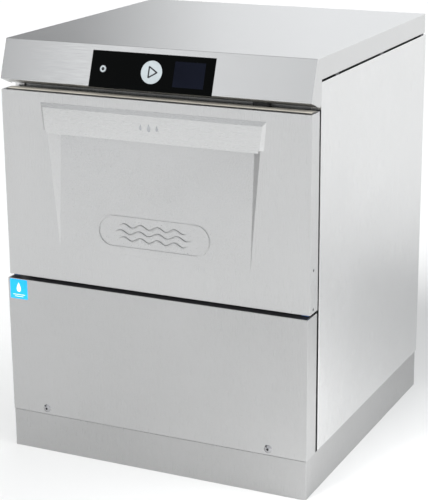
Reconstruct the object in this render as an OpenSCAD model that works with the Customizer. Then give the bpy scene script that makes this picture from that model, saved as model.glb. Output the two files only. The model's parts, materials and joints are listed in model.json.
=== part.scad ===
// Front-loading undercounter dishwasher for commercial kitchens.
// Millimetres. X to the right, Y to the back, Z up. Origin: middle of the footprint, on the floor.
// Inside the modules Y is counted back from the lower panel's face; from_front() moves it home.

/* [Cabinet] */
// Width over the hood and the door
cabinet_w = 608; // [600:1:620]
// Depth from the panel screws to the side panels' rear edge
cabinet_d = 623; // [616:1:640]
// Height of the hood's top above the floor
cabinet_h = 788; // [780:1:810]
// Height of the base plinth
plinth_h = 75; // [60:1:90]
// Thickness of the outer sheets
sheet = 1.5; // [1:0.1:2]

/* [Door] */
// Height of the door's lower edge
door_z = 346; // [344:1:350]
// Height of the door skin
door_h = 352; // [340:1:354]
// Depth of the door skin with its returns
door_t = 35; // [34:1:38]
// Half width of the raised handle at its top
grip_w = 222; // [216:1:230]
// Depth of the finger pocket
pocket_d = 17; // [12:1:18]
// Depth of the hinge axis behind the door face
hinge_inset = 13; // [12:0.5:13.5]

/* [Controls] */
// Lean of the fascia from upright, degrees
fascia_lean = 20; // [15:1:25]
// Width of the glass control panel
glass_w = 240; // [200:1:260]
// Radius of the start button
start_r = 20.5; // [14:0.5:22]
// Radius of the power button
power_r = 7; // [5:0.5:8]

/* [Wash chamber] */
// Inner width of the wash chamber
chamber_w = 520; // [512:1:530]
// Inner depth of the wash chamber
chamber_d = 520; // [512:1:526]
// Radius swept by the wash arms
arm_r = 232; // [200:1:240]

/* [Hidden] */
$fn = 48;
eps = 0.02;
run_gap = 0.05;                          // radial clearance of every running fit
half_w = cabinet_w / 2;
screw_dome = 3;
front_y = -cabinet_d / 2 + screw_dome;   // the lower panel's face in the part's own frame
rear_y = cabinet_d - screw_dome;         // side panels' rear edge, counted from that face
panel_top = 340.5;                       // lower panel's upper edge
door_y = 8.5;                            // door face, counted from the lower panel's face
door_back = door_y + door_t;
hinge_y = door_y + hinge_inset;
hinge_z = door_z + 18;
panel_front = 54;                        // side panels' front edge
side_top = 745.5;
hood_low = 750;                          // lower edge of the hood's sides
hood_rear = 610;
fascia_y = 7;                            // fascia's lower edge
fascia_z = 717.5;
fascia_rise = cabinet_h - fascia_z;
fascia_run = fascia_rise * tan(fascia_lean);
glass_h = 64;
start_x = 0.6;                           // start button, from the middle
power_x = -95.5;                         // power button, from the middle
button_up = 32;                          // both buttons, up the fascia from its lower edge
grip_out = 5;                            // the handle stands this far out of the door face
grip_low = 629.5;                        // where the handle's face turns in
pocket_slope = atan(pocket_d / 212);
emblem_z = 453.5;
screw_x = 229.5;
screw_z = 87;
door_screw_y = 24;
door_screw_z = [353, 424];
gasket_z0 = 386;
gasket_z1 = 694;
foot_x = 255;
foot_y = [100, 556];
back_y = 611;                            // back panel's inner face
tray_y = 571;                            // connection tray behind the back panel
tray_x = 200;
tray_z0 = 106;
tray_z1 = 250;
tray_holes = [[-120, 190, 13.2], [120, 190, 10], [56, 138, 12.2]];
basket_at = [130, 475];
pump_x = -90;
pump_y = 200;
pump_z = 138;
drain_at = [40, 430, 138];
dosing_x = -246;
dosing_z = [160, 250];
chamber_front = 58;                      // front frame of the wash chamber
mouth_x = 254;                           // half width of the chamber's mouth
chamber_floor = 330;
chamber_top = 736;
centre_y = chamber_front + chamber_d / 2 + 5;
sump_floor = 200;
sump_x = 190;
sump_y = [95, 530];
rack_z = 405;
duct_x = 282.5;                          // outer side of the riser duct

steel = [0.78, 0.79, 0.80];
dark_steel = [0.55, 0.56, 0.58];
black = [0.05, 0.05, 0.06];
rubber = [0.12, 0.12, 0.13];
blue = [0.10, 0.35, 0.62];
grey = [0.45, 0.47, 0.50];
white = [0.86, 0.89, 0.90];
pump_grey = [0.16, 0.16, 0.18];

module from_front() { translate([0, front_y, 0]) children(); }

module both_sides() {
  children();
  mirror([1, 0, 0]) children();
}

// A box given by its two corners
module span(low, high) { translate(low) cube(high - low); }

// A cylinder along X, or along Y, from a given point
module rod_x(at, length, r) { translate(at) rotate([0, 90, 0]) cylinder(h = length, r = r); }
module rod_y(at, length, r) { translate(at) rotate([-90, 0, 0]) cylinder(h = length, r = r); }
module rod_z(at, length, r) { translate(at) cylinder(h = length, r = r); }

// The fascia's own plane: X across, Y up the slope, Z out of its face
module on_fascia() {
  translate([0, fascia_y, fascia_z]) rotate([90 - fascia_lean, 0, 0]) children();
}

// An outline in Y and Z, drawn across the width between two X values
module across(x0, x1, outline) {
  translate([x0, 0, 0]) rotate([90, 0, 90]) linear_extrude(x1 - x0) polygon(outline);
}

// A plate in X and Z that faces the front, from its front face backwards
module facing(y, thick, outline) {
  translate([0, y + thick, 0]) rotate([90, 0, 0]) linear_extrude(thick) polygon(outline);
}

// Hood and controls ------------------------------------------------------------------------

// Side outline of the hood, drawn in by t on every outer face
function hood_outline(t) = [
  [fascia_y + t, fascia_z], [fascia_y + fascia_run + t, cabinet_h - t],
  [hood_rear - t, cabinet_h - t], [hood_rear - t, hood_low], [53, hood_low],
  [51, 706], [42, 704]
];

module hood() {
  color(steel) from_front() difference() {
    across(-half_w, half_w, hood_outline(0));
    across(-half_w + sheet, half_w - sheet, [
      [fascia_y + sheet * 1.1, fascia_z - 1], [fascia_y + fascia_run + sheet * 1.3, cabinet_h - sheet],
      [hood_rear - sheet, cabinet_h - sheet], [hood_rear - sheet, hood_low - 1], [54, hood_low - 1],
      [54, 700], [30, 700]
    ]);
    on_fascia() translate([-glass_w / 2 - 0.2, -2, -10]) cube([glass_w + 0.4, glass_h + 2.2, 20]);
  }
}

module fascia_flange() {
  color(steel) from_front() difference() {
    across(-half_w + 2, half_w - 2, [
      [9.2, 716.6], [9.8, 718.2], [40, 707.4], [54, 707.4],
      [54, 742], [55.5, 742], [55.5, 705.6], [39.6, 705.6]
    ]);
    // the upright stops between the side panels
    both_sides() span([282.5, panel_front - 0.5, 700], [half_w, 60, side_top]);
  }
}

module control_glass() {
  color(black) from_front() on_fascia() difference() {
    translate([-glass_w / 2, -1.5, -2]) cube([glass_w, glass_h + 1.3, 2.4]);
    translate([start_x, button_up, -3]) cylinder(h = 5, r = start_r + run_gap * 4);
    translate([power_x, button_up, -3]) cylinder(h = 5, r = power_r + run_gap * 4);
    translate([43.5, 9, -3]) cube([59.3, 45.3, 5]);
  }
}

module display_window() {
  color([0.05, 0.06, 0.10]) from_front() on_fascia() translate([43.7, 9.2, -1.6]) cube([58.9, 44.9, 1.9]);
}

module control_board() {
  color([0.06, 0.28, 0.16]) from_front() on_fascia() {
    difference() {
      translate([-112, 2, -9.6]) cube([224, 58, 1.6]);
      for (x = [-106, 106], s = [7, 55]) translate([x, s, -12]) cylinder(h = 6, r = 1.6);
    }
    translate([41, 7, -8 - eps]) cube([64, 49, 6]);
    for (x = [-60, -38, 20]) translate([x, 14, -14]) cube([14, 10, 4.4 + eps]);
    translate([-80, 40, -17.6]) cube([60, 10, 8 + eps]);
  }
}

// A cap that slides in the glass, with a collar behind it
module push_button(x, r, travel) {
  translate([x, button_up, 0]) {
    translate([0, 0, -2.4]) cylinder(h = 3.1, r = r);
    translate([0, 0, -3.4]) cylinder(h = 1.1, r = r + 1.4);
    translate([0, 0, -3.4 - travel * 0.4]) cylinder(h = travel * 0.4 + eps, r = 1.4);
  }
}

module start_button() {
  color(white) from_front() on_fascia() push_button(start_x, start_r, 1.5);
}

module power_button() {
  color(white) from_front() on_fascia() push_button(power_x, power_r, 1.2);
}

// A short-travel switch on the board behind each button
module button_switches() {
  color(dark_steel) from_front() on_fascia() for (x = [start_x, power_x]) {
    translate([x - 6, button_up - 6, -8]) cube([12, 12, 1.6]);
    translate([x, button_up, -6.4 - eps]) cylinder(h = 0.8, r = 3);
  }
}

module hood_clips() {
  color(black) from_front() both_sides()
    for (y = [120, 350, 588]) span([half_w - 16, y, side_top], [half_w - sheet - 0.3, y + 18, hood_low + 8]);
}

// Cabinet ----------------------------------------------------------------------------------

module side_panel() {
  from_front() difference() {
    span([283, panel_front, plinth_h + 0.5], [303, rear_y, side_top]);
    span([280, panel_front + sheet, plinth_h - 1], [303 - sheet, rear_y - sheet, side_top - sheet]);
  }
}

module side_panel_right() { color(steel) side_panel(); }

module side_panel_left() { color(steel) mirror([1, 0, 0]) side_panel(); }

// Flat sheet with a window for the connections and eight vents
module back_panel() {
  color(dark_steel) from_front() difference() {
    span([-282, back_y, plinth_h + 1], [282, back_y + sheet, 744]);
    span([-tray_x, back_y - 1, tray_z0], [tray_x, back_y + 5, tray_z1]);
    for (i = [0:7]) span([-120 + i * 30, back_y - 1, 560], [-104 + i * 30, back_y + 5, 566]);
  }
}

// Tray let in behind the window, so that the connections stay inside the wall line
module connection_tray() {
  color(dark_steel) from_front() difference() {
    union() {
      span([-tray_x - sheet, tray_y - sheet, tray_z0 - sheet], [tray_x + sheet, back_y, tray_z1 + sheet]);
      span([-tray_x - 12, back_y - sheet, tray_z0 - 4], [tray_x + 12, back_y, tray_z1 + 12]);
    }
    span([-tray_x, tray_y, tray_z0], [tray_x, back_y + 3, tray_z1]);
    for (hole = tray_holes) rod_y([hole[0], tray_y - 5, hole[1]], 10, hole[2]);
  }
}

module lower_front_panel() {
  color(steel) from_front() difference() {
    span([-303.5, 0, plinth_h + 0.5], [303.5, 43, panel_top]);
    span([-303.5 + sheet, sheet, plinth_h - 1], [303.5 - sheet, 50, panel_top - sheet]);
    span([-280, 31, panel_top - 5], [280, 50, panel_top + 5]);
    for (x = [-screw_x, screw_x]) rod_y([x, -5, screw_z], 15, 4);
  }
}

module panel_screws() {
  color(dark_steel) from_front() for (x = [-screw_x, screw_x]) translate([x, 0, screw_z]) rotate([90, 0, 0])
    difference() {
      union() {
        rotate_extrude() intersection() {
          translate([0, screw_dome - 12.17]) circle(r = 12.17, $fn = 96);
          square([20, 20]);
        }
        translate([0, 0, -16]) cylinder(h = 16 + eps, r = 3);
      }
      translate([0, 0, screw_dome - 1.8]) cylinder(h = 3, r = 2.6, $fn = 6);
    }
}

module base_plinth() {
  color(steel) from_front() difference() {
    span([-302.5, 0, 0], [302.5, 613, plinth_h]);
    span([-302.5 + sheet, sheet, sheet], [302.5 - sheet, 613 - sheet, plinth_h - sheet]);
    span([-280, 22, -5], [280, 590, plinth_h + 5]);
  }
}

// A levelling foot: pad, hexagon and threaded stem
module foot(x, y) {
  color(dark_steel) from_front() translate([x, y, 1]) {
    cylinder(h = 5, r = 19);
    translate([0, 0, 5 - eps]) cylinder(h = 6, r1 = 17, r2 = 9);
    translate([0, 0, 11 - 2 * eps]) cylinder(h = 10, r = 8.5, $fn = 6);
    translate([0, 0, 20]) cylinder(h = 82, r = 5);
  }
}

module foot_front_left() { foot(-foot_x, foot_y[0]); }
module foot_front_right() { foot(foot_x, foot_y[0]); }
module foot_rear_left() { foot(-foot_x, foot_y[1]); }
module foot_rear_right() { foot(foot_x, foot_y[1]); }

// Square tube between two corners, hollow along X, Y or Z (axis 0, 1 or 2)
module tube_rail(low, high, axis) {
  wall = [for (i = [0:2]) i == axis ? -1 : 2];
  difference() {
    span(low, high);
    span(low + wall, high - wall);
  }
}

module chassis_frame() {
  color(dark_steel) from_front() {
    difference() {
      union() {
        for (y = [60, 583]) {
          tube_rail([-290, y, 76], [290, y + 25, 101], 0);
          tube_rail([-282, y, 741], [282, y + 25, 760], 0);
        }
        both_sides() {
          tube_rail([265, 84, 76], [290, 584, 101], 1);
          for (y = [60, 583]) tube_rail([265, y, 100], [290, y + 25, 742], 2);
          // hinge bracket on the front post
          span([266, hinge_y - 7, hinge_z - 7], [274, 61, hinge_z + 7]);
          // tab behind each panel screw
          span([screw_x - 10, 4, 80], [screw_x + 10, 61, 95]);
          // threaded lugs of the feet, welded beside the rails
          for (y = foot_y) span([foot_x - 12, y - 14, 76], [266, y + 14, 101]);
        }
      }
      both_sides() {
        rod_x([260, hinge_y, hinge_z], 20, 6 + run_gap / 2);
        rod_y([screw_x, 0, screw_z], 30, 3 + run_gap / 2);
        for (y = foot_y) rod_z([foot_x, y, 50], 60, 5 + run_gap);
      }
    }
  }
}

// Door -------------------------------------------------------------------------------------

// The finger pocket: deep behind the handle, running out to nothing further down
module pocket(grow) {
  hull() {
    facing(door_y - 1, 1, [
      [-210 - grow, 672 + grow], [210 + grow, 672 + grow], [210 + grow, 625],
      [191.7 + grow, 410 - grow * 8], [-191.7 - grow, 410 - grow * 8], [-210 - grow, 625]
    ]);
    facing(door_y + pocket_d - 0.2 + grow, 0.2, [
      [-191.7 - grow, 672 + grow], [191.7 + grow, 672 + grow],
      [191.7 + grow, 622], [-191.7 - grow, 622]
    ]);
  }
}

// How deep the pocket's sloping floor lies at a given height
function pocket_depth(z) = (z - 410) * tan(pocket_slope);

// Outline of the embossed frame, with round ends
module stadium(half_length, r) {
  square([2 * half_length, 2 * r], center = true);
  for (x = [-half_length, half_length]) translate([x, 0]) circle(r = r);
}

module door_skin() {
  color(steel) from_front() {
    difference() {
      span([-half_w, door_y, door_z], [half_w, door_back, door_z + door_h]);
      difference() {
        span([-half_w + sheet, door_y + sheet, door_z + sheet],
             [half_w - sheet, door_back + 5, door_z + door_h - sheet]);
        pocket(sheet);
      }
      pocket(0);
      // the bottom return is cut away for the hinges
      both_sides() span([256, 12.5, door_z - 5], [half_w - sheet, door_back + 5, door_z + 5]);
      both_sides() for (z = door_screw_z) rod_x([290, door_screw_y, z], 20, 3.1);
    }
    translate([0, door_y + pocket_depth(emblem_z) + 0.7, emblem_z]) rotate([90 - pocket_slope, 0, 0])
      linear_extrude(2.7) difference() {
        stadium(83, 29);
        stadium(83, 26.5);
      }
  }
}

// A plate outline that narrows from its upper to its lower edge
function tapered(top, z1, low, z0) = [[-top, z1], [top, z1], [low, z0], [-low, z0]];

// Raised strip over the finger pocket, hollow behind and with a lip along its lower edge
module door_handle() {
  color(steel) from_front() difference() {
    union() {
      hull() {
        facing(door_y - 0.2, 0.2, tapered(grip_w, 680, grip_w - 4.5, grip_low));
        facing(door_y - grip_out, 0.2, tapered(grip_w - 6.5, 672, grip_w - 10.5, grip_low));
      }
      facing(door_y - grip_out, grip_out - 0.1, tapered(grip_w - 13, 632, grip_w - 13.4, 625));
    }
    span([17 - grip_w, door_y - grip_out + 1.8, 620], [grip_w - 17, door_y + 5, 668]);
  }
}

module door_liner() {
  color(dark_steel) from_front() difference() {
    union() {
      span([-301, door_back - sheet, door_z + 5], [301, door_back, door_z + door_h - 5]);
      span([-240, door_back - 6, 398], [240, door_back, 680]);
    }
    span([-238.5, door_back - 4.5, 399.5], [238.5, door_back + 5, 678.5]);
    both_sides() span([256, 30, 330], [305, door_back + 5, 380]);
  }
}

module door_screws() {
  color(dark_steel) from_front() both_sides() for (z = door_screw_z) {
    rod_x([half_w - sheet, door_screw_y, z], sheet, 3);
    rod_x([294, door_screw_y, z], half_w - sheet - 294 + eps, 2);
  }
}

// Pivot block screwed inside each end of the door
module hinge_arms() {
  color(dark_steel) from_front() both_sides() difference() {
    span([290, door_y + 2, door_z + 2], [half_w - sheet - 0.1, 34.5, door_z + 94]);
    rod_x([285, hinge_y, hinge_z], 25, 9 + run_gap / 2);
    for (z = door_screw_z) rod_x([285, door_screw_y, z], 25, 2 + run_gap / 2);
  }
}

module hinge_bushes() {
  color(blue) from_front() both_sides() difference() {
    union() {
      rod_x([288, hinge_y, hinge_z], 14, 9);
      rod_x([288, hinge_y, hinge_z], 1.8, 11);
    }
    rod_x([285, hinge_y, hinge_z], 25, 6 + run_gap);
  }
}

module hinge_pins() {
  color(dark_steel) from_front() both_sides() {
    rod_x([263, hinge_y, hinge_z], 37, 6);
    rod_x([260, hinge_y, hinge_z], 5, 8);
  }
}

// Counterbalance spring: a wire wound round the hinge pin
function coil_ring(i, n, sides, r, wire, pitch) = [
  for (k = [0:sides - 1]) let (
    turn = 360 * i / n, side = 360 * k / sides, reach = r + wire * cos(side)
  ) [pitch * i / n + wire * sin(side), reach * cos(turn), reach * sin(turn)]
];

module wire_coil(r, wire, pitch, turns, n = 20, sides = 8) {
  rings = turns * n;
  points = [for (i = [0:rings]) each coil_ring(i, n, sides, r, wire, pitch)];
  faces = [
    [for (k = [0:sides - 1]) k],
    for (i = [0:rings - 1], k = [0:sides - 1]) let (a = i * sides + k, b = i * sides + (k + 1) % sides)
      [a, a + sides, b + sides, b],
    [for (k = [sides - 1:-1:0]) rings * sides + k]
  ];
  polyhedron(points = points, faces = faces);
}

module door_springs() {
  color(dark_steel) from_front() both_sides()
    translate([276.4, hinge_y, hinge_z]) wire_coil(r = 8.4, wire = 1, pitch = 2.2, turns = 4);
}

module door_magnet() {
  color(black) from_front() span([180, door_back - 8, 684], [210, door_back - 1.6, 692]);
}

module door_switch() {
  color(black) from_front() span([180, 46, 696], [210, 58, 704]);
}

// A soft sealing ring standing on the chamber's front flange
module door_gasket() {
  color(rubber) from_front() difference() {
    span([-270, door_back + 0.4, gasket_z0], [270, chamber_front, gasket_z1]);
    span([-256, 30, gasket_z0 + 10], [256, 70, gasket_z1 - 10]);
    span([-266, 49, gasket_z0 + 4], [266, 53, gasket_z1 - 4]);
  }
}

// Wash chamber and its fittings ------------------------------------------------------------

// Flat front frame that the chamber is welded to and the door seals against
module chamber_front_frame() {
  color(dark_steel) from_front() difference() {
    span([-284, chamber_front, panel_top + 1], [284, chamber_front + sheet, chamber_top + sheet]);
    span([-mouth_x, 50, gasket_z0 + 10], [mouth_x, 65, gasket_z1 - 10]);
    // slots for the hinge brackets
    both_sides() span([265.5, 50, hinge_z - 7.5], [274.5, 65, hinge_z + 7.5]);
  }
}

// Chamber open to the front, with the sump below it
module wash_chamber() {
  color(dark_steel) from_front() difference() {
    union() {
      span([-chamber_w / 2 - sheet, chamber_front + sheet, chamber_floor - sheet],
           [chamber_w / 2 + sheet, chamber_front + chamber_d + 2 * sheet, chamber_top + sheet]);
      span([-sump_x, sump_y[0], sump_floor - sheet], [sump_x, sump_y[1], chamber_floor]);
    }
    span([-chamber_w / 2, chamber_front, chamber_floor],
         [chamber_w / 2, chamber_front + chamber_d + sheet, chamber_top]);
    span([-sump_x + sheet, sump_y[0] + sheet, sump_floor],
         [sump_x - sheet, sump_y[1] - sheet, chamber_floor + 5]);
    rod_z([0, centre_y, sump_floor - 10], 20, 14 + run_gap);
    rod_z([0, centre_y, chamber_top - 10], 20, 14 + run_gap);
    rod_z([-150, 200, sump_floor - 10], 20, 18);
    for (x = [-30, 30]) rod_y([x, 90, 225], 10, 5 + run_gap);
  }
}

module rack_rails() {
  color(steel) from_front() both_sides() {
    span([chamber_w / 2 - sheet, 75, rack_z - 30], [chamber_w / 2, 565, rack_z]);
    span([235, 75, rack_z - sheet], [chamber_w / 2, 565, rack_z]);
    span([235, 75, rack_z - 8], [235 + sheet, 565, rack_z]);
  }
}

module strainer_plate() {
  color(steel) from_front() translate([0, 0, chamber_floor + 0.2]) linear_extrude(1.5) difference() {
    translate([-258, 62]) square([516, 514]);
    translate([0, centre_y]) circle(r = 17);
    translate(basket_at) circle(r = 50);
    for (i = [0:8], k = [0:9]) if (clear_of_holes(i, k))
      translate([-212 + i * 48, 92 + k * 48]) square([40, 5]);
  }
}

// Slots are left out where the spindle and the basket pass through the plate
function clear_of_holes(i, k) =
  let (at = [-192 + i * 48, 94.5 + k * 48])
  norm(at - [0, centre_y]) > 45 && norm(at - basket_at) > 80;

// Removable cup with a rim that rests on the plate and two tabs to lift it by
module strainer_basket() {
  color(steel) from_front() translate([basket_at[0], basket_at[1], 0]) {
    difference() {
      union() {
        translate([0, 0, 236]) cylinder(h = 98, r = 48);
        translate([0, 0, 332.2]) cylinder(h = 1.8, r = 56);
      }
      translate([0, 0, 237.5]) cylinder(h = 110, r = 46.5);
    }
    both_sides() span([50, -9, 333], [51.5, 9, 344]);
  }
}

// Hollow spindle of one pair of arms: z grows away from the wall it stands on
module arm_spindle() {
  difference() {
    union() {
      cylinder(h = 36, r = 11);
      translate([0, 0, 12]) cylinder(h = 2.5, r = 16);
      translate([0, 0, 36 - eps]) cylinder(h = 16, r = 8);
      translate([0, 0, 52 - 2 * eps]) cylinder(h = 5, r = 12);
    }
    translate([0, 0, -1]) cylinder(h = 46, r = 5);
  }
}

// Flat hollow arm with round ends and a hub that turns on the spindle
module wash_arm() {
  difference() {
    union() {
      linear_extrude(14) stadium(arm_r - 17, 17);
      translate([0, 0, -2]) cylinder(h = 20, r = 24);
    }
    translate([0, 0, 1.3]) linear_extrude(11.4) difference() {
      stadium(arm_r - 17, 15.7);
      circle(r = 22);
    }
    translate([0, 0, -5]) cylinder(h = 40, r = 11 + run_gap);
    for (x = [55:40:arm_r - 20], side = [-1, 1])
      translate([side * x, side * 4, 10]) cylinder(h = 10, r = 2.2);
    for (side = [-1, 1]) translate([side * (arm_r - 40), side * 10, 4]) cube([24, 24, 4], center = true);
  }
}

// Two thin tubes on a hub
module rinse_arm() {
  difference() {
    union() {
      rod_x([-arm_r + 4, 0, 6], 2 * arm_r - 8, 6);
      cylinder(h = 13, r = 17);
    }
    for (side = [-1, 1]) rotate([0, 0, side * 90 - 90]) rod_x([19, 0, 6], arm_r - 25, 4.6);
    translate([0, 0, -5]) cylinder(h = 30, r = 8 + run_gap);
    for (x = [50:35:arm_r - 10], side = [-1, 1]) translate([side * x, 0, 6]) cylinder(h = 10, r = 1.5);
  }
}

module at_lower() { translate([0, centre_y, chamber_floor + 4]) children(); }

module at_upper() { translate([0, centre_y, chamber_top - 0.5]) mirror([0, 0, 1]) children(); }

// The same spindle at the bottom and at the top of the chamber
module arm_spindles() {
  color(dark_steel) from_front() {
    at_lower() arm_spindle();
    at_upper() arm_spindle();
  }
}

module lower_wash_arm() {
  color(steel) from_front() at_lower() translate([0, 0, 17]) wash_arm();
}

module upper_wash_arm() {
  color(steel) from_front() at_upper() translate([0, 0, 17]) rotate([0, 0, 25]) wash_arm();
}

module lower_rinse_arm() {
  color(steel) from_front() at_lower() translate([0, 0, 36.5]) rotate([0, 0, 115]) rinse_arm();
}

module upper_rinse_arm() {
  color(steel) from_front() at_upper() translate([0, 0, 36.5]) rotate([0, 0, 100]) rinse_arm();
}

// Wash circuit: along under the sump, up the left side and over the chamber
module riser_duct() {
  color(dark_steel) from_front() difference() {
    union() {
      duct_path(0);
      rod_z([0, centre_y, 180], chamber_floor + 4 - 180, 14);
      rod_z([0, centre_y, chamber_top - 0.5], 10, 14);
      rod_y([pump_x, pump_y + 40, pump_z + 26], centre_y - 15 - pump_y - 39, 12);
    }
    duct_path(1.5);
    rod_z([0, centre_y, 170], 180, 11);
    rod_z([0, centre_y, chamber_top - 5], 20, 11);
    rod_y([pump_x, pump_y + 30, pump_z + 26], 90, 9.5);
  }
}

module duct_path(t) {
  y0 = centre_y - 15 + t;
  y1 = centre_y + 15 - t;
  span([-duct_x + t, y0, 150 + t], [18 - t, y1, 182 - t]);
  span([-duct_x + t, y0, 150 + t], [-duct_x + 19.5 - t, y1, 764 - t]);
  span([-duct_x + t, y0, 742 + t], [18 - t, y1, 764 - t]);
}

module wash_pump_casing() {
  color(pump_grey) from_front() translate([pump_x, pump_y, pump_z]) rotate([0, 90, 0]) difference() {
    union() {
      translate([0, 0, -24]) cylinder(h = 48, r = 55);
      translate([0, 0, -34]) cylinder(h = 12, r = 21);
      translate([-26, 34, 0]) rotate([-90, 0, 0]) cylinder(h = 10, r = 16);
    }
    translate([0, 0, -19]) cylinder(h = 38, r = 49);
    translate([0, 0, -40]) cylinder(h = 30, r = 16);
    translate([0, 0, 10]) cylinder(h = 20, r = 6 + run_gap);
    translate([-26, 30, 0]) rotate([-90, 0, 0]) cylinder(h = 30, r = 12 + run_gap);
  }
}

module wash_pump_motor() {
  color(grey) from_front() translate([pump_x + 24, pump_y, pump_z]) rotate([0, 90, 0]) difference() {
    union() {
      cylinder(h = 170, r = 46);
      for (z = [20:12:140]) translate([0, 0, z]) cylinder(h = 3, r = 50);
      translate([38, -25, 50]) cube([20, 50, 70]);
    }
    translate([0, 0, -1]) cylinder(h = 60, r = 6 + run_gap);
  }
}

module wash_pump_impeller() {
  color(black) from_front() translate([pump_x, pump_y, pump_z]) rotate([0, 90, 0]) {
    difference() {
      union() {
        translate([0, 0, 6]) cylinder(h = 4, r = 40);
        for (a = [0:60:300]) rotate([0, 0, a]) translate([12, -1.5, -8]) cube([27, 3, 15]);
        translate([0, 0, -6]) cylinder(h = 14, r = 13);
      }
      for (a = [30:60:330]) rotate([0, 0, a]) translate([30, 0, 0]) cylinder(h = 20, r = 3);
    }
    translate([0, 0, 9]) cylinder(h = 70, r = 6);
  }
}

module suction_hose() {
  color(rubber) from_front() difference() {
    union() {
      rod_z([-150, pump_y, pump_z], sump_floor - pump_z, 17.5);
      translate([-150, pump_y, pump_z]) sphere(r = 17.5);
      rod_x([-150, pump_y, pump_z], pump_x - 34 + 150, 17.5);
    }
    rod_z([-150, pump_y, pump_z], 100, 14);
    translate([-150, pump_y, pump_z]) sphere(r = 14);
    rod_x([-150, pump_y, pump_z], 100, 14);
  }
}

module drain_pump_casing() {
  color(pump_grey) from_front() translate(drain_at) rotate([0, 90, 0]) difference() {
    union() {
      cylinder(h = 32, r = 32);
      translate([0, 0, 32 - eps]) cylinder(h = 46, r = 24);
      translate([0, 30, 16]) rotate([-90, 0, 0]) cylinder(h = 14, r = 12);
    }
    translate([0, 0, 3]) cylinder(h = 26, r = 28);
    translate([0, 0, 20]) cylinder(h = 30, r = 4 + run_gap);
    translate([0, 20, 16]) rotate([-90, 0, 0]) cylinder(h = 40, r = 9);
    translate([0, 0, -5]) cylinder(h = 12, r = 10);
  }
}

module drain_pump_impeller() {
  color(black) from_front() translate(drain_at) rotate([0, 90, 0]) {
    translate([0, 0, 20]) cylinder(h = 3, r = 22);
    for (a = [0:45:315]) rotate([0, 0, a]) translate([3, -1, 9]) cube([18, 2, 11 + eps]);
    translate([0, 0, 9]) cylinder(h = 36, r = 4);
  }
}

module drain_hose() {
  color(rubber) from_front() difference() {
    union() {
      rod_y([56, 474.2, 138], 95.6, 12);
      rod_y([56, 560, 138], 46.2, 11);
    }
    rod_y([56, 470, 138], 150, 9);
  }
}

module booster_tank() {
  color(steel) from_front() translate([243, 470, 104]) difference() {
    union() {
      cylinder(h = 8, r1 = 36, r2 = 44);
      translate([0, 0, 8 - eps]) cylinder(h = 190, r = 44);
      translate([0, 0, 198 - 2 * eps]) cylinder(h = 8, r1 = 44, r2 = 36);
    }
    translate([0, 0, 3]) cylinder(h = 200, r = 42.5 - 8);
    translate([0, 0, 10]) cylinder(h = 186, r = 42.5);
    translate([0, 0, -5]) cylinder(h = 20, r = 22);
  }
}

module booster_heater() {
  color(dark_steel) from_front() translate([243, 470, 104]) {
    translate([0, 0, -2]) cylinder(h = 5, r = 21.8);
    for (x = [-13, 0, 13]) {
      for (y = [-8, 8]) translate([x, y, 2]) cylinder(h = 128, r = 3.2);
      translate([x - 2.5, -11, 129]) cube([5, 22, 5]);
    }
  }
}

module tank_heater() {
  color(dark_steel) from_front() translate([0, 0, 225]) {
    span([-48, 91, -20], [48, 94.8, 20]);
    for (x = [-30, 30]) rod_y([x, 92, 0], 308, 5);
    translate([0, 400 - eps, 0]) rotate_extrude(angle = 180) translate([30, 0]) circle(r = 5);
  }
}

module inlet_valve() {
  color([0.80, 0.66, 0.35]) from_front() difference() {
    union() {
      rod_y([-120, tray_y - 34, 190], 32.4, 14);
      rod_y([-120, tray_y - 2, 190], 4, tray_holes[0][2] - 0.2);
      rod_y([-120, tray_y + 0.1, 190], 5, 17);
      rod_y([-120, tray_y + 5, 190], 22, 13.1);
      span([-134, tray_y - 32, 190], [-106, tray_y - 4, 222]);
      rod_z([-120, tray_y - 18, 222 - eps], 22, 11);
    }
    rod_y([-120, tray_y - 20, 190], 60, 8);
  }
}

module cable_gland() {
  color(black) from_front() difference() {
    union() {
      rod_y([120, tray_y - 12, 190], 14, tray_holes[1][2] - 0.1);
      translate([120, tray_y + 0.1, 190]) rotate([-90, 0, 0]) cylinder(h = 6, r = 15, $fn = 6);
      rod_y([120, tray_y + 6, 190], 10, 12);
      rod_y([120, tray_y - 9, 190], 7, 14);
    }
    rod_y([120, tray_y - 20, 190], 60, 6);
  }
}

module level_stem() {
  color(dark_steel) from_front() {
    rod_z([-150, 440, sump_floor], 112, 4);
    rod_z([-150, 440, sump_floor + 4], 4, 9);
    rod_z([-150, 440, sump_floor + 108], 4, 9);
  }
}

module level_float() {
  color(white) from_front() translate([-150, 440, sump_floor + 8.3]) difference() {
    cylinder(h = 34, r = 16);
    translate([0, 0, -1]) cylinder(h = 40, r = 4 + run_gap);
  }
}

module dosing_pumps() {
  color(grey) from_front() for (z = dosing_z) difference() {
    span([-286, 96, z - 40], [-206, 150, z + 40]);
    rod_y([dosing_x, 90, z], 30, 31);
    rod_y([dosing_x, 100, z], 30, 4 + run_gap);
    span([dosing_x - 31, 90, z - 50], [dosing_x - 21, 110, z]);
    span([dosing_x + 21, 90, z - 50], [dosing_x + 31, 110, z]);
  }
}

// Rotor with three rollers between two flat arms
module dosing_rotor(z) {
  color(white) from_front() translate([dosing_x, 98, z]) rotate([-90, 0, 0]) {
    cylinder(h = 4, r = 22);
    translate([0, 0, 15]) cylinder(h = 4, r = 22);
    for (a = [0:120:240]) rotate([0, 0, a]) translate([18, 0, 3.9]) cylinder(h = 11.2, r = 7);
    translate([0, 0, 4 - eps]) cylinder(h = 26, r = 4);
  }
}

module dosing_rotor_wash() { dosing_rotor(dosing_z[0]); }
module dosing_rotor_rinse() { dosing_rotor(dosing_z[1]); }

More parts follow.
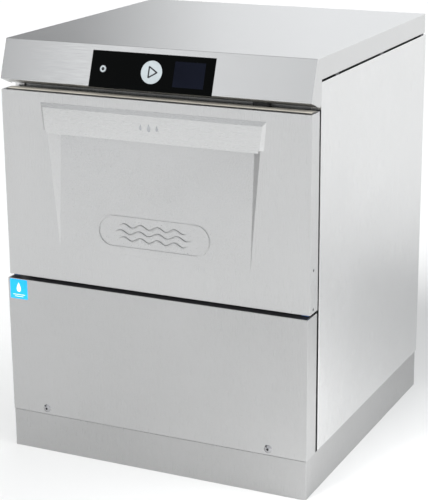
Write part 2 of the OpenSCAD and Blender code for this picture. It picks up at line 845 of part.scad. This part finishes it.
hood();
fascia_flange();
control_glass();
display_window();
control_board();
start_button();
power_button();
button_switches();
hood_clips();
side_panel_left();
side_panel_right();
back_panel();
connection_tray();
lower_front_panel();
panel_screws();
base_plinth();
foot_front_left();
foot_front_right();
foot_rear_left();
foot_rear_right();
chassis_frame();
door_skin();
door_handle();
door_liner();
door_gasket();
door_screws();
hinge_arms();
hinge_pins();
hinge_bushes();
door_springs();
door_magnet();
door_switch();
chamber_front_frame();
wash_chamber();
rack_rails();
strainer_plate();
strainer_basket();
arm_spindles();
lower_wash_arm();
lower_rinse_arm();
upper_wash_arm();
upper_rinse_arm();
riser_duct();
wash_pump_casing();
wash_pump_motor();
wash_pump_impeller();
suction_hose();
drain_pump_casing();
drain_pump_impeller();
drain_hose();
booster_tank();
booster_heater();
tank_heater();
inlet_valve();
cable_gland();
level_stem();
level_float();
dosing_pumps();
dosing_rotor_wash();
dosing_rotor_rinse();
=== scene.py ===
import json
import math

import bmesh
import bpy
from mathutils import Matrix, Vector


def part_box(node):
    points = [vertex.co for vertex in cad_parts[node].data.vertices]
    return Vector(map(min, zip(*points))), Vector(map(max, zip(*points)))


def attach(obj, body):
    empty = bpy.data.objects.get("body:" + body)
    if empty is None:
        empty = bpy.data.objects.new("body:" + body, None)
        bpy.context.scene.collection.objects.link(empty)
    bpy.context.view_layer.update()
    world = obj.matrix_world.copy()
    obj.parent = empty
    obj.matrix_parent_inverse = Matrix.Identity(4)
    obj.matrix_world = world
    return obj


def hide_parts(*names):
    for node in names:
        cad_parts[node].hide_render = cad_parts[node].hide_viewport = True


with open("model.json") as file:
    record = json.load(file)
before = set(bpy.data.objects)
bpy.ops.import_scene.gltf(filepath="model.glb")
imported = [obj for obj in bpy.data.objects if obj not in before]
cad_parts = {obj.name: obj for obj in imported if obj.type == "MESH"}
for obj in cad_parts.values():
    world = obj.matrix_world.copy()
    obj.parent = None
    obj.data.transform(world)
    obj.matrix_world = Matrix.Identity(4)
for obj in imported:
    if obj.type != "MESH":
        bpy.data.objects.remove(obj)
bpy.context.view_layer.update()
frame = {"nodes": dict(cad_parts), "record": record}
MM = 0.001
NODES = frame["nodes"]

# Datums, read from the frame ----------------------------------------------------------------

PANEL_LOW, PANEL_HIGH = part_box("lower_front_panel")
DOOR_LOW, DOOR_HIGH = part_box("door_skin")
HANDLE_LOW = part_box("door_handle")[0]
FASCIA_LEAN = math.radians(20)
CAP_OUT = 0.7 * MM           # the buttons stand this far out of the fascia
START_X = 0.6 * MM
POWER_X = -95.5 * MM
BUTTON_UP = 32 * MM          # both buttons, up the fascia
POCKET_FOOT = 410 * MM       # the pocket's floor slopes in above this height
POCKET_SLOPE = math.atan(17 / 212)
EMBLEM_Z = 453.5 * MM
SCREW_X, SCREW_Z = 229.5 * MM, 87 * MM
DOOR_SCREW_HEIGHTS = (("low", 353 * MM), ("high", 424 * MM))
SIDES = ((-1, "left"), (1, "right"))
PRINT_THICK = 0.12 * MM
MARK_THICK = 0.05 * MM


# Camera -------------------------------------------------------------------------------------

def add_camera():
    """The view of a person standing to the machine's right, looking slightly down."""
    yaw, pitch, roll = math.radians(25.66), math.radians(16.69), math.radians(-0.56)
    ahead = Vector((-math.sin(yaw) * math.cos(pitch), math.cos(yaw) * math.cos(pitch), -math.sin(pitch)))
    right = Vector((math.cos(yaw), math.sin(yaw), 0))
    up = right.cross(ahead)
    right_rolled = math.cos(roll) * right + math.sin(roll) * up
    up_rolled = -math.sin(roll) * right + math.cos(roll) * up
    data = bpy.data.cameras.new("camera")
    data.sensor_width = 36
    data.lens = 110.5
    data.shift_x = 0.012
    data.shift_y = -0.002
    data.clip_end = 60
    camera = bpy.data.objects.new("camera", data)
    bpy.context.scene.collection.objects.link(camera)
    turn = Matrix((right_rolled, up_rolled, -ahead)).transposed().to_4x4()
    camera.matrix_world = Matrix.Translation((1.229, PANEL_LOW.y - 2.320, 1.218)) @ turn
    bpy.context.scene.camera = camera


add_camera()


# Materials ----------------------------------------------------------------------------------

def new_material(name, colour, metallic=0.0, roughness=0.4, **sockets):
    material = bpy.data.materials.new(name)
    material.use_nodes = True
    shader = material.node_tree.nodes["Principled BSDF"]
    shader.inputs["Base Color"].default_value = (*colour, 1)
    shader.inputs["Metallic"].default_value = metallic
    shader.inputs["Roughness"].default_value = roughness
    for socket, value in sockets.items():
        shader.inputs[socket.replace("_", " ")].default_value = value
    return material, material.node_tree, shader


def noise_at(tree, scale, detail=3.0, stretch=(1, 1, 1), roughness=0.5):
    """A noise pattern in the object's own metres, stretched along an axis by a small factor."""
    nodes, links = tree.nodes, tree.links
    coordinates = nodes.new("ShaderNodeTexCoord")
    mapping = nodes.new("ShaderNodeMapping")
    mapping.inputs["Scale"].default_value = stretch
    noise = nodes.new("ShaderNodeTexNoise")
    noise.inputs["Scale"].default_value = scale
    noise.inputs["Detail"].default_value = detail
    noise.inputs["Roughness"].default_value = roughness
    links.new(coordinates.outputs["Object"], mapping.inputs["Vector"])
    links.new(mapping.outputs["Vector"], noise.inputs["Vector"])
    return noise.outputs["Fac"]


def spread(tree, value, low, high, start=0.3, end=0.7):
    """Maps a value between start and end onto low to high."""
    node = tree.nodes.new("ShaderNodeMapRange")
    node.inputs["From Min"].default_value = start
    node.inputs["From Max"].default_value = end
    node.inputs["To Min"].default_value = low
    node.inputs["To Max"].default_value = high
    tree.links.new(value, node.inputs["Value"])
    return node.outputs["Result"]


def two_tone(tree, value, dark, light):
    """A colour between two, by a 0 to 1 value."""
    ramp = tree.nodes.new("ShaderNodeValToRGB")
    ramp.color_ramp.elements[0].position = 0.3
    ramp.color_ramp.elements[1].position = 0.7
    ramp.color_ramp.elements[0].color = (*dark, 1)
    ramp.color_ramp.elements[1].color = (*light, 1)
    tree.links.new(value, ramp.inputs["Fac"])
    return ramp.outputs["Color"]


def bump_from(tree, shader, value, strength, distance):
    node = tree.nodes.new("ShaderNodeBump")
    node.inputs["Strength"].default_value = strength
    node.inputs["Distance"].default_value = distance
    tree.links.new(value, node.inputs["Height"])
    tree.links.new(node.outputs["Normal"], shader.inputs["Normal"])


def brushed_steel(name, tone, roughness, grain):
    """Sheet steel with fine brush lines along one axis and cloudy sheet marks."""
    colour = (tone, tone, tone)
    material, tree, shader = new_material(name, colour, metallic=1.0, roughness=roughness)
    stretch = tuple(0.012 if axis == grain else 1.0 for axis in "xyz")
    lines = noise_at(tree, 2600, 2.0, stretch)
    clouds = noise_at(tree, 5.0, 4.0)
    tree.links.new(two_tone(tree, clouds, [c * 0.975 for c in colour], [min(1, c * 1.02) for c in colour]),
                   shader.inputs["Base Color"])
    mixed = tree.nodes.new("ShaderNodeMath")
    mixed.operation = "ADD"
    tree.links.new(spread(tree, lines, roughness - 0.05, roughness + 0.06), mixed.inputs[0])
    tree.links.new(spread(tree, clouds, -0.012, 0.018), mixed.inputs[1])
    tree.links.new(mixed.outputs["Value"], shader.inputs["Roughness"])
    bump_from(tree, shader, lines, 0.03, 0.00008)
    return material


def moulded(name, colour, roughness=0.5, metallic=0.0, grain=900, depth=0.00015):
    """Moulded or cast surface: fine grain, slight colour and gloss variation."""
    material, tree, shader = new_material(name, colour, metallic, roughness)
    fine = noise_at(tree, grain, 3.0)
    broad = noise_at(tree, 18, 4.0)
    tree.links.new(two_tone(tree, broad, [c * 0.86 for c in colour], [min(1, c * 1.1) for c in colour]),
                   shader.inputs["Base Color"])
    tree.links.new(spread(tree, fine, roughness - 0.06, roughness + 0.08), shader.inputs["Roughness"])
    bump_from(tree, shader, fine, 0.25, depth)
    return material


def gloss_panel(name, colour, roughness, clouds):
    """Back-printed glass: deep colour behind the surface, with faint wipe marks in its gloss."""
    material, tree, shader = new_material(
        name, colour, 0.0, roughness, Specular_IOR_Level=0.03)
    marks = noise_at(tree, clouds, 5.0, (1, 0.3, 1))
    tree.links.new(two_tone(tree, marks, [c * 0.8 for c in colour], [c * 1.2 for c in colour]),
                   shader.inputs["Base Color"])
    tree.links.new(spread(tree, marks, roughness, roughness + 0.10), shader.inputs["Roughness"])
    return material


def perforated(name, tone, roughness, pitch, hole):
    """Steel sheet with a regular pattern of small dark holes."""
    material, tree, shader = new_material(name, (tone, tone, tone), metallic=1.0, roughness=roughness)
    coordinates = tree.nodes.new("ShaderNodeTexCoord")
    cells = tree.nodes.new("ShaderNodeTexVoronoi")
    cells.inputs["Scale"].default_value = 1 / pitch
    cells.inputs["Randomness"].default_value = 0
    tree.links.new(coordinates.outputs["Object"], cells.inputs["Vector"])
    solid = spread(tree, cells.outputs["Distance"], 0, 1, hole - 0.04, hole + 0.04)
    tree.links.new(two_tone(tree, solid, (0.02, 0.02, 0.02), (tone, tone, tone)), shader.inputs["Base Color"])
    tree.links.new(spread(tree, solid, 0, 1, 0, 1), shader.inputs["Metallic"])
    return material


MATERIALS = {
    "perforated": perforated("perforated", 0.60, 0.28, 5 * MM, 0.42),
    "steel": brushed_steel("steel", 0.57, 0.30, "z"),
    "steel_grip": brushed_steel("steel_grip", 0.62, 0.27, "x"),
    # Painted light and shade: lighter and darker copies of one steel for the side panels, lower front panel
    # and base
    "steel_side_painted_light": brushed_steel("steel_side_painted_light", 0.70, 0.24, "z"),
    "steel_panel_painted_shade": brushed_steel("steel_panel_painted_shade", 0.50, 0.30, "z"),
    "steel_base_painted_shade": brushed_steel("steel_base_painted_shade", 0.45, 0.30, "z"),
    "steel_top": brushed_steel("steel_top", 0.60, 0.20, "x"),
    "inner_steel": brushed_steel("inner_steel", 0.60, 0.30, "z"),
    "screw": moulded("screw", (0.42, 0.42, 0.43), 0.16, 1.0, 700, 0.00005),
    "foot": moulded("foot", (0.45, 0.45, 0.46), 0.35, 1.0, 700, 0.0001),
    "black_trim": moulded("black_trim", (0.018, 0.018, 0.020), 0.45),
    "panel_glass": gloss_panel("panel_glass", (0.0006, 0.0008, 0.0008), 0.08, 9),
    "display": gloss_panel("display", (0.004, 0.005, 0.010), 0.12, 14),
    "board": moulded("board", (0.02, 0.12, 0.06), 0.4),
    "button": moulded("button", (0.37, 0.41, 0.425), 0.35, 0.0, 400, 0.00004),
    "seal": moulded("seal", (0.015, 0.015, 0.016), 0.65),
    "bush": moulded("bush", (0.02, 0.09, 0.28), 0.5),
    "pump_plastic": moulded("pump_plastic", (0.03, 0.03, 0.034), 0.55),
    "motor": moulded("motor", (0.14, 0.15, 0.17), 0.4, 0.0, 300, 0.0004),
    "valve": moulded("valve", (0.66, 0.48, 0.20), 0.28, 1.0, 500, 0.0001),
    "float_plastic": moulded("float_plastic", (0.72, 0.73, 0.71), 0.45),
    "dosing_case": moulded("dosing_case", (0.20, 0.21, 0.23), 0.5),
}
LABEL_BLUE = moulded("label_blue", (0.0, 0.40, 0.86), 0.35, 0.0, 600, 0.00002)
LABEL_WHITE = moulded("label_white", (0.80, 0.86, 0.92), 0.4, 0.0, 600, 0.00002)
# Painted reflection: a pale beige that stands in for the warm band mirrored in the door's top return
PAINTED_REFLECTION_BEIGE = moulded("painted_reflection_beige", (0.60, 0.57, 0.50), 0.5, 0.0, 500, 0.00005)
PRINT_GREY = moulded("print_grey", (0.28, 0.29, 0.30), 0.5, 0.0, 600, 0.00002)
# Black for print, and also painted shade in the screw sockets
PRINT_AND_SHADE_BLACK = moulded("print_and_shade_black", (0.01, 0.01, 0.012), 0.4, 0.0, 600, 0.00002)


# Mesh helpers -------------------------------------------------------------------------------

def add_piece(name, mesh, material, body):
    piece = bpy.data.objects.new(name, mesh)
    bpy.context.scene.collection.objects.link(piece)
    mesh.materials.clear()
    mesh.materials.append(material)
    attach(piece, body)
    return piece


def smooth_by_angle(mesh, degrees=35):
    """Smooth shading with the real corners kept sharp."""
    for polygon in mesh.polygons:
        polygon.use_smooth = True
    mesh.set_sharp_from_angle(angle=math.radians(degrees))


SLOT_OF = {entry["node"]: entry["material_slot"] for entry in frame["record"]["subparts"]}
# The same steel with its own tone per sheet: the side panels' tone is painted lighter as painted light, the
# lower front panel's, fascia flange's and base's painted darker as painted shade
SHEET_OF = {"side_panel_left": "steel_side_painted_light", "side_panel_right": "steel_side_painted_light",
            "lower_front_panel": "steel_panel_painted_shade", "base_plinth": "steel_base_painted_shade", "door_handle": "steel_grip",
            "fascia_flange": "steel_panel_painted_shade", "strainer_basket": "perforated"}


def material_of(node):
    return MATERIALS[SHEET_OF.get(node, SLOT_OF[node])]


def body_of_node(node):
    for body, members in frame["record"]["behaviour"]["bodies"].items():
        if node in members:
            return body
    return "cabinet"


def folded_sheet(node, radius, segments=3):
    """The node's own form with its flat faces joined up and its folds and edges rounded."""
    mesh = NODES[node].data.copy()
    mesh.name = node + "_sheet"
    shape = bmesh.new()
    shape.from_mesh(mesh)
    bmesh.ops.remove_doubles(shape, verts=shape.verts, dist=0.00002)
    bmesh.ops.dissolve_limit(
        shape, angle_limit=math.radians(1), verts=shape.verts, edges=shape.edges)
    shape.to_mesh(mesh)
    shape.free()
    piece = add_piece(node + "_sheet", mesh, material_of(node), body_of_node(node))
    bevel = piece.modifiers.new("folds", "BEVEL")
    bevel.width = radius
    bevel.segments = segments
    bevel.limit_method = "ANGLE"
    bevel.angle_limit = math.radians(28)
    bevel.harden_normals = True
    smooth_by_angle(mesh)
    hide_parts(node)
    return piece


# Carried-over CAD nodes ---------------------------------------------------------------------

def dress_nodes():
    for node, thing in NODES.items():
        thing.data.materials.clear()
        thing.data.materials.append(material_of(node))
        smooth_by_angle(thing.data)


dress_nodes()
folded_sheet("hood", 0.8 * MM)
folded_sheet("lower_front_panel", 0.7 * MM)
folded_sheet("base_plinth", 0.7 * MM)
folded_sheet("side_panel_left", 0.7 * MM)
folded_sheet("side_panel_right", 0.7 * MM)
folded_sheet("door_skin", 0.7 * MM)
folded_sheet("door_handle", 0.8 * MM)


# Printed marks, painted shade and painted reflection -------------------------------------------------

def plate(name, outline, holes, thick, place, material, body):
    """A thin flat plate with an outline and holes, drawn in X and Y, standing up Z from place."""
    curve = bpy.data.curves.new(name, "CURVE")
    curve.dimensions = "2D"
    curve.fill_mode = "BOTH"
    curve.extrude = thick / 2
    for loop in [outline, *holes]:
        spline = curve.splines.new("POLY")
        spline.points.add(len(loop) - 1)
        for point, (x, y) in zip(spline.points, loop):
            point.co = (x, y, 0, 1)
        spline.use_cyclic_u = True
    holder = bpy.data.objects.new(name + "_curve", curve)
    bpy.context.scene.collection.objects.link(holder)
    bpy.context.view_layer.update()
    mesh = bpy.data.meshes.new_from_object(holder.evaluated_get(bpy.context.evaluated_depsgraph_get()))
    bpy.data.objects.remove(holder)
    mesh.name = name
    mesh.transform(place @ Matrix.Translation((0, 0, thick / 2)))
    return add_piece(name, mesh, material, body)


def ring_points(x, y, r, count=48):
    return [(x + r * math.cos(2 * math.pi * i / count), y + r * math.sin(2 * math.pi * i / count))
            for i in range(count)]


def rounded_polygon(corners, radius, steps=6):
    """A closed outline with each corner replaced by a small arc."""
    points = []
    count = len(corners)
    for i in range(count):
        before, here, after = (Vector(corners[(i + k) % count]) for k in (-1, 0, 1))
        inward, outward = (before - here).normalized(), (after - here).normalized()
        half = inward.angle(outward) / 2
        reach = radius / math.tan(half)
        centre = here + (inward + outward).normalized() * radius / math.sin(half)
        first, last = here + inward * reach - centre, here + outward * reach - centre
        turn = first.angle_signed(last)
        for k in range(steps + 1):
            a = -turn * k / steps
            points.append(centre + Vector((first.x * math.cos(a) - first.y * math.sin(a),
                                           first.x * math.sin(a) + first.y * math.cos(a))))
    return [(p.x, p.y) for p in points]


def on_fascia(x, up, out):
    """The fascia's own plane: x across, up its slope, out of its face, from its lower edge."""
    foot = Vector((0, PANEL_LOW.y + 7 * MM, DOOR_HIGH.z + 19.5 * MM))
    turn = Matrix.Rotation(math.pi / 2 - FASCIA_LEAN, 4, "X")
    return Matrix.Translation(foot) @ turn @ Matrix.Translation((x, up, out))


def on_front(x, y, z):
    """A plane that faces the front: X across, Y up."""
    return Matrix.Translation((x, y, z)) @ Matrix.Rotation(math.pi / 2, 4, "X")


def block(name, low, high, material, body, round_by=0.0):
    """A box with rounded edges, from its two corners."""
    shape = bmesh.new()
    bmesh.ops.create_cube(shape, size=1)
    middle, extent = (Vector(low) + Vector(high)) / 2, Vector(high) - Vector(low)
    bmesh.ops.scale(shape, vec=extent, verts=shape.verts)
    bmesh.ops.translate(shape, vec=middle, verts=shape.verts)
    if round_by:
        bmesh.ops.bevel(shape, geom=shape.edges[:], offset=round_by, segments=3, affect="EDGES", profile=0.5)
    mesh = bpy.data.meshes.new(name)
    shape.to_mesh(mesh)
    shape.free()
    smooth_by_angle(mesh)
    return add_piece(name, mesh, material, body)


def add_painted_door_bands_and_bumpers():
    """A pale strip on the door's top return as painted reflection, black strips on it and on the lower
    panel's top as painted shade in the gaps, and blue bumpers under its lower corners.
    """
    face, top = DOOR_LOW.y, DOOR_HIGH.z
    # Painted reflection: a pale strip on the door's top return, in place of the warm band the steel mirrors
    # there
    block("door_top_painted_reflection", (-0.298, face + 13 * MM, top), (0.298, face + 34.6 * MM, top + 0.8 * MM),
          PAINTED_REFLECTION_BEIGE, "door", 0.3 * MM)
    # Painted shade: a thin black strip on the door's top return, where the gap under the fascia lies in shade
    block("door_top_painted_shade", (-0.298, face + 8 * MM, top), (0.298, face + 12.6 * MM, top + 0.5 * MM),
          MATERIALS["black_trim"], "door")
    # Painted shade: a black strip on the lower panel's top, in the gap under the door
    block("panel_top_painted_shade", (-0.300, PANEL_LOW.y + 2 * MM, PANEL_HIGH.z),
          (0.300, PANEL_LOW.y + 30 * MM, PANEL_HIGH.z + 0.3 * MM),
          MATERIALS["black_trim"], "cabinet")
    for side, name in SIDES:
        x = sorted((side * 0.286, side * 0.299))
        block("door_bumper_" + name,
              (x[0], face + 6 * MM, DOOR_LOW.z - 3.7 * MM), (x[1], face + 10.5 * MM, DOOR_LOW.z + 0.5 * MM),
              MATERIALS["bush"], "door", 0.6 * MM)


def add_symbols():
    """A triangle on the start button, a black rim and a dot on the power button."""
    size = 12.0 * MM
    start = on_fascia(START_X, BUTTON_UP, CAP_OUT)
    power = on_fascia(POWER_X, BUTTON_UP, CAP_OUT)
    outer = [(-0.55 * size, -size), (1.10 * size, 0), (-0.55 * size, size)]
    inner = [(-0.34 * size, -0.63 * size), (0.67 * size, 0), (-0.34 * size, 0.63 * size)]
    plate("start_symbol", rounded_polygon(outer, 1.6 * MM), [rounded_polygon(inner, 0.7 * MM)],
          PRINT_THICK, start, PRINT_AND_SHADE_BLACK, "start_button")
    plate("power_rim", ring_points(0, 0, 6.98 * MM), [ring_points(0, 0, 5.9 * MM)],
          PRINT_THICK, power, PRINT_AND_SHADE_BLACK, "power_button")
    plate("power_symbol", ring_points(0, 0, 3.0 * MM), [],
          PRINT_THICK, power, PRINT_AND_SHADE_BLACK, "power_button")


add_painted_door_bands_and_bumpers()
add_symbols()


def bead(name, paths, radius, place, material, body):
    """A raised round bead along open paths drawn in X and Y."""
    curve = bpy.data.curves.new(name, "CURVE")
    curve.dimensions = "3D"
    curve.bevel_depth = radius
    curve.bevel_resolution = 3
    curve.use_fill_caps = True
    for path in paths:
        spline = curve.splines.new("POLY")
        spline.points.add(len(path) - 1)
        for i, (point, (x, y)) in enumerate(zip(spline.points, path)):
            point.co = (x, y, 0, 1)
            point.radius = min(1.0, 0.25 + 0.15 * min(i, len(path) - 1 - i))
    holder = bpy.data.objects.new(name + "_curve", curve)
    bpy.context.scene.collection.objects.link(holder)
    bpy.context.view_layer.update()
    mesh = bpy.data.meshes.new_from_object(holder.evaluated_get(bpy.context.evaluated_depsgraph_get()))
    bpy.data.objects.remove(holder)
    mesh.name = name
    mesh.transform(place)
    smooth_by_angle(mesh, 60)
    return add_piece(name, mesh, material, body)


def add_emblem():
    """Three pressed waves inside the door's embossed ring, and three small drops on the handle."""
    depth = (EMBLEM_Z - POCKET_FOOT) * math.tan(POCKET_SLOPE)
    place = (Matrix.Translation((0, DOOR_LOW.y + depth, EMBLEM_Z))
             @ Matrix.Rotation(math.pi / 2 - POCKET_SLOPE, 4, "X"))
    steps, crests, swing, row_gap = 64, 4, 3.4 * MM, 12 * MM
    waves = []
    for row in (-1, 0, 1):
        half = (76 - 8 * abs(row)) * MM
        waves.append([(-half + 2 * half * i / steps,
                       row * row_gap + swing * math.sin(2 * math.pi * crests * i / steps))
                      for i in range(steps + 1)])
    bead("emblem_waves", waves, 1.5 * MM, place, MATERIALS["steel"], "door")
    for i, x in enumerate((-16, 0, 16)):
        tall = 7.5 * MM if x == 0 else 5.6 * MM
        drop = [(0.62 * tall * math.sin(t) * math.sin(t / 2) ** 1.3, tall * math.cos(t))
                for t in (2 * math.pi * k / 40 for k in range(40))]
        grip = on_front(x * MM, HANDLE_LOW.y, 652 * MM)
        plate("handle_drop_%d" % i, drop, [], 0.1 * MM, grip, PRINT_GREY, "door")


add_emblem()


def add_sockets():
    """Painted shade in the recesses of the panel screws and of the door's side screws, and the hood's rear
    latches.
    """
    hexagon = ring_points(0, 0, 2.5 * MM, 6)
    out = 1.25 * MM
    for side, name in SIDES:
        # Painted shade: a black hexagon in each panel screw's socket
        plate("panel_socket_painted_shade_" + name, hexagon, [], MARK_THICK,
              on_front(side * SCREW_X, PANEL_LOW.y - out, SCREW_Z), PRINT_AND_SHADE_BLACK, "cabinet")
        for level, height in DOOR_SCREW_HEIGHTS:
            at = Matrix.Translation((side * DOOR_HIGH.x, DOOR_LOW.y + 15.5 * MM, height))
            place = at @ Matrix.Rotation(side * math.pi / 2, 4, "Y")
            # Painted shade: a black disc in each recess of the door's side screws
            plate("door_socket_%s_%s" % (name, level), ring_points(0, 0, 2.2 * MM, 24), [], MARK_THICK,
                  place, PRINT_AND_SHADE_BLACK, "door")
        x = sorted((side * 0.289, side * 0.302))
        block("hood_latch_" + name, (x[0], PANEL_LOW.y + 0.596, 0.7456), (x[1], PANEL_LOW.y + 0.608, 0.7494),
              MATERIALS["screw"], "cabinet", 0.8 * MM)


add_sockets()


def add_label():
    """A plain blue sticker with a drop and two ruled lines."""
    place = on_front(-281 * MM, PANEL_LOW.y, 320 * MM)
    half_w, half_h = 18.8 * MM, 19.2 * MM
    corners = [(-half_w, -half_h), (half_w, -half_h), (half_w, half_h), (-half_w, half_h)]
    plate("label_base", rounded_polygon(corners, 1 * MM), [], PRINT_THICK, place,
          LABEL_BLUE, "cabinet")
    raised = place @ Matrix.Translation((0, 0, PRINT_THICK))
    drop = [(0.0062 * math.sin(t) * math.sin(t / 2) ** 1.3, 0.0095 * math.cos(t) + 0.004)
            for t in (2 * math.pi * i / 48 for i in range(48))]
    plate("label_drop", drop, [], MARK_THICK, raised, LABEL_WHITE, "cabinet")
    for i, half in enumerate((13 * MM, 9 * MM)):
        low = -11.5 * MM - i * 3.5 * MM
        high = low + 1.2 * MM
        plate("label_line_%d" % i, [(-half, low), (half, low), (half, high), (-half, high)],
              [], MARK_THICK, raised, LABEL_WHITE, "cabinet")


add_label()


# Stage --------------------------------------------------------------------------------------

def add_floor():
    half = 12
    material = new_material("floor", (0.90, 0.90, 0.895), 0.0, 0.85)[0]
    mesh = bpy.data.meshes.new("floor")
    mesh.from_pydata([(-half, -half, 0), (half, -half, 0), (half, half, 0), (-half, half, 0)], [],
                     [(0, 1, 2, 3)])
    floor = bpy.data.objects.new("floor", mesh)
    bpy.context.scene.collection.objects.link(floor)
    mesh.materials.append(material)


# Brightness of the room behind and in front of the machine, along its X from -1 to 1
BACK_LEVELS = [(-0.62, 0.20), (-0.50, 0.42), (-0.42, 0.98), (-0.36, 1.08), (0.05, 1.15), (0.35, 1.60)]
FRONT_LEVELS = [(-0.60, 0.25), (-0.54, 0.50), (-0.50, 1.75), (-0.45, 1.25), (-0.37, 0.92), (-0.10, 1.02)]
CEILING_LEVEL = 0.32


def room_ramp(tree, across, levels):
    """Half of each level along the room's X: a colour stop holds 1 at most, and add_world doubles it."""
    ramp = tree.nodes.new("ShaderNodeValToRGB")
    while len(ramp.color_ramp.elements) < len(levels):
        ramp.color_ramp.elements.new(0.5)
    for stop, (x, level) in zip(ramp.color_ramp.elements, levels):
        stop.position = (x + 1) / 2
        stop.color = (level / 2, level / 2, level / 2, 1)
    tree.links.new(across, ramp.inputs["Fac"])
    return ramp.outputs["Color"]


def add_world():
    """A pale studio room, dim at the far left, with a darker ceiling."""
    world = bpy.data.worlds.new("studio")
    bpy.context.scene.world = world
    world.use_nodes = True
    tree = world.node_tree
    background = tree.nodes["Background"]
    background.inputs["Color"].default_value = (0.97, 0.985, 1.0, 1)
    direction = tree.nodes.new("ShaderNodeTexCoord")
    parts = tree.nodes.new("ShaderNodeSeparateXYZ")
    tree.links.new(direction.outputs["Generated"], parts.inputs["Vector"])
    across = spread(tree, parts.outputs["X"], 0, 1, -1, 1)
    blend = tree.nodes.new("ShaderNodeMix")
    tree.links.new(spread(tree, parts.outputs["Y"], 0, 1, -0.3, 0.3), blend.inputs["Factor"])
    tree.links.new(room_ramp(tree, across, FRONT_LEVELS), blend.inputs["A"])
    tree.links.new(room_ramp(tree, across, BACK_LEVELS), blend.inputs["B"])
    walls = tree.nodes.new("ShaderNodeMath")
    walls.operation = "MULTIPLY"
    tree.links.new(blend.outputs["Result"], walls.inputs[0])
    tree.links.new(spread(tree, parts.outputs["Z"], 2, 2 * CEILING_LEVEL, 0.60, 0.90), walls.inputs[1])
    tree.links.new(walls.outputs["Value"], background.inputs["Strength"])


def add_light(name, kind, at, toward, power, **settings):
    """A lamp that lights the room and is not mirrored in the steel."""
    data = bpy.data.lights.new(name, kind)
    data.energy = power
    for setting, value in settings.items():
        setattr(data, setting, value)
    light = bpy.data.objects.new(name, data)
    bpy.context.scene.collection.objects.link(light)
    light.location = at
    light.rotation_euler = Vector(toward).to_track_quat("-Z", "Y").to_euler()
    light.visible_glossy = False


add_floor()
add_world()
add_light("key", "SUN", (-1, -3, 3), (0.42, 0.76, -0.50), 3.3, angle=math.radians(30))
add_light("right_pool", "AREA", (1.0, -0.3, 0.5), (0, 0, -1), 7, size=0.5)
bpy.context.scene.view_settings.view_transform = "Standard"
